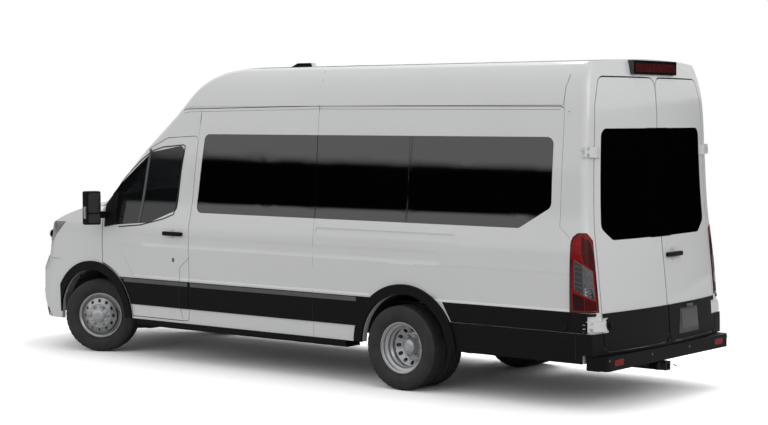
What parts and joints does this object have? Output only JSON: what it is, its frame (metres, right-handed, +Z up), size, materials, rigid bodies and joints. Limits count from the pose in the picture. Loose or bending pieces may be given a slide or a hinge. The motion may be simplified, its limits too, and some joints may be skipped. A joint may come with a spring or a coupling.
{
  "type": "minibus",
  "caption": "High roof passenger van with opening doors and hood, steered front wheels, twin rear wheels, side cladding and running boards.",
  "frame": {"origin": "on the ground, at the centre of the overall length and width", "axes": "+Z up, -Y towards the nose, +X towards the left side of the vehicle"},
  "size_m": [2.474, 6.703, 2.733],
  "materials": {
    "body_paint": "glossy white paint",
    "dark_glass": "dark tinted glass",
    "lamp_lens": "clear lamp lens",
    "red_lens": "red lamp lens",
    "black_plastic": "grained black plastic",
    "chassis_black": "satin black chassis paint",
    "cast_metal": "plain cast block",
    "tank_plastic": "black moulded tank",
    "exhaust_steel": "dull steel",
    "tyre_rubber": "black tyre rubber",
    "wheel_steel": "silver painted steel",
    "seat_fabric": "dark grey woven fabric"
  },
  "bodies": {
    "body": {"body_side_left": "body_paint", "body_side_right": "body_paint", "sliding_door": "body_paint", "roof": "body_paint", "front_fenders": "body_paint", "windshield": "dark_glass", "side_glass_left": "dark_glass", "side_glass_right": "dark_glass", "head_lamps": "lamp_lens", "tail_lamps": "red_lens", "high_stop_lamp": "red_lens", "front_bumper": "black_plastic", "grille": "black_plastic", "cowl_panel": "black_plastic", "side_cladding": "black_plastic", "running_boards": "black_plastic", "rear_bumper": "black_plastic", "antenna_fin": "black_plastic", "dashboard": "black_plastic", "steering_wheel": "black_plastic", "floor_pan": "chassis_black", "wheel_housings": "chassis_black", "firewall": "chassis_black", "hinge_pillars": "chassis_black", "hitch": "chassis_black", "rear_axle": "chassis_black", "leaf_springs": "chassis_black", "drive_shaft": "chassis_black", "front_subframe": "chassis_black", "engine_block": "cast_metal", "fuel_tank": "tank_plastic", "exhaust": "exhaust_steel", "spare_wheel": "tyre_rubber", "front_seats": "seat_fabric", "passenger_seats": "seat_fabric"},
    "front_door_left": {"door_front_left": "body_paint", "door_glass_left": "dark_glass", "mirror_left": "black_plastic", "door_cladding_left": "black_plastic"},
    "front_door_right": {"door_front_right": "body_paint", "door_glass_right": "dark_glass", "mirror_right": "black_plastic", "door_cladding_right": "black_plastic"},
    "back_door_left": {"rear_door_left": "body_paint", "rear_glass_left": "dark_glass", "rear_band_left": "black_plastic"},
    "back_door_right": {"rear_door_right": "body_paint", "rear_glass_right": "dark_glass", "rear_band_right": "black_plastic"},
    "hood_lid": {"hood": "body_paint"},
    "steer_left": {"knuckle_left": "chassis_black"},
    "steer_right": {"knuckle_right": "chassis_black"},
    "wheel_front_left": {"tyre_front_left": "tyre_rubber", "rim_front_left": "wheel_steel"},
    "wheel_front_right": {"tyre_front_right": "tyre_rubber", "rim_front_right": "wheel_steel"},
    "wheel_rear_left": {"tyres_rear_left": "tyre_rubber", "rims_rear_left": "wheel_steel"},
    "wheel_rear_right": {"tyres_rear_right": "tyre_rubber", "rims_rear_right": "wheel_steel"}
  },
  "joints": [
    {"name": "steering_left", "type": "hinge", "parent": "body", "child": "steer_left", "pos_m": [0.835, -2.3285, 0.349], "axis": [0, 0, 1], "range_deg": [-61.6, 8.4]},
    {"name": "steering_right", "type": "hinge", "parent": "body", "child": "steer_right", "pos_m": [-0.835, -2.3285, 0.349], "axis": [0, 0, 1], "range_deg": [-61.6, 8.4]},
    {"name": "spin_front_left", "type": "hinge", "parent": "steer_left", "child": "wheel_front_left", "pos_m": [0.86272, -2.31462, 0.349], "axis": [0.8942, 0.4478, 0], "continuous": true},
    {"name": "spin_front_right", "type": "hinge", "parent": "steer_right", "child": "wheel_front_right", "pos_m": [-0.86272, -2.34238, 0.349], "axis": [0.8942, 0.4478, 0], "continuous": true},
    {"name": "spin_rear_left", "type": "hinge", "parent": "body", "child": "wheel_rear_left", "pos_m": [0.834, 1.4205, 0.349], "axis": [1, 0, 0], "continuous": true},
    {"name": "spin_rear_right", "type": "hinge", "parent": "body", "child": "wheel_rear_right", "pos_m": [-0.834, 1.4205, 0.349], "axis": [1, 0, 0], "continuous": true},
    {"name": "front_door_left_hinge", "type": "hinge", "parent": "body", "child": "front_door_left", "pos_m": [1.009, -2.127, 1.04], "axis": [0, 0, -1], "range_deg": [0, 68]},
    {"name": "front_door_right_hinge", "type": "hinge", "parent": "body", "child": "front_door_right", "pos_m": [-1.009, -2.127, 1.04], "axis": [0, 0, 1], "range_deg": [0, 68]},
    {"name": "back_door_left_hinge", "type": "hinge", "parent": "body", "child": "back_door_left", "pos_m": [1.03, 3.21, 0.655], "axis": [0.0546, 0.0553, -0.997], "range_deg": [0, 180]},
    {"name": "back_door_right_hinge", "type": "hinge", "parent": "body", "child": "back_door_right", "pos_m": [-1.03, 3.21, 0.655], "axis": [0.0546, -0.0553, 0.997], "range_deg": [0, 180]},
    {"name": "hood_hinge", "type": "hinge", "parent": "body", "child": "hood_lid", "pos_m": [0, -2.3505, 1.362], "axis": [-1, 0, 0], "range_deg": [0, 50]}
  ],
  "couplings": [
    {"joint": "steering_right", "follows": "steering_left", "ratio": 1}
  ]
}
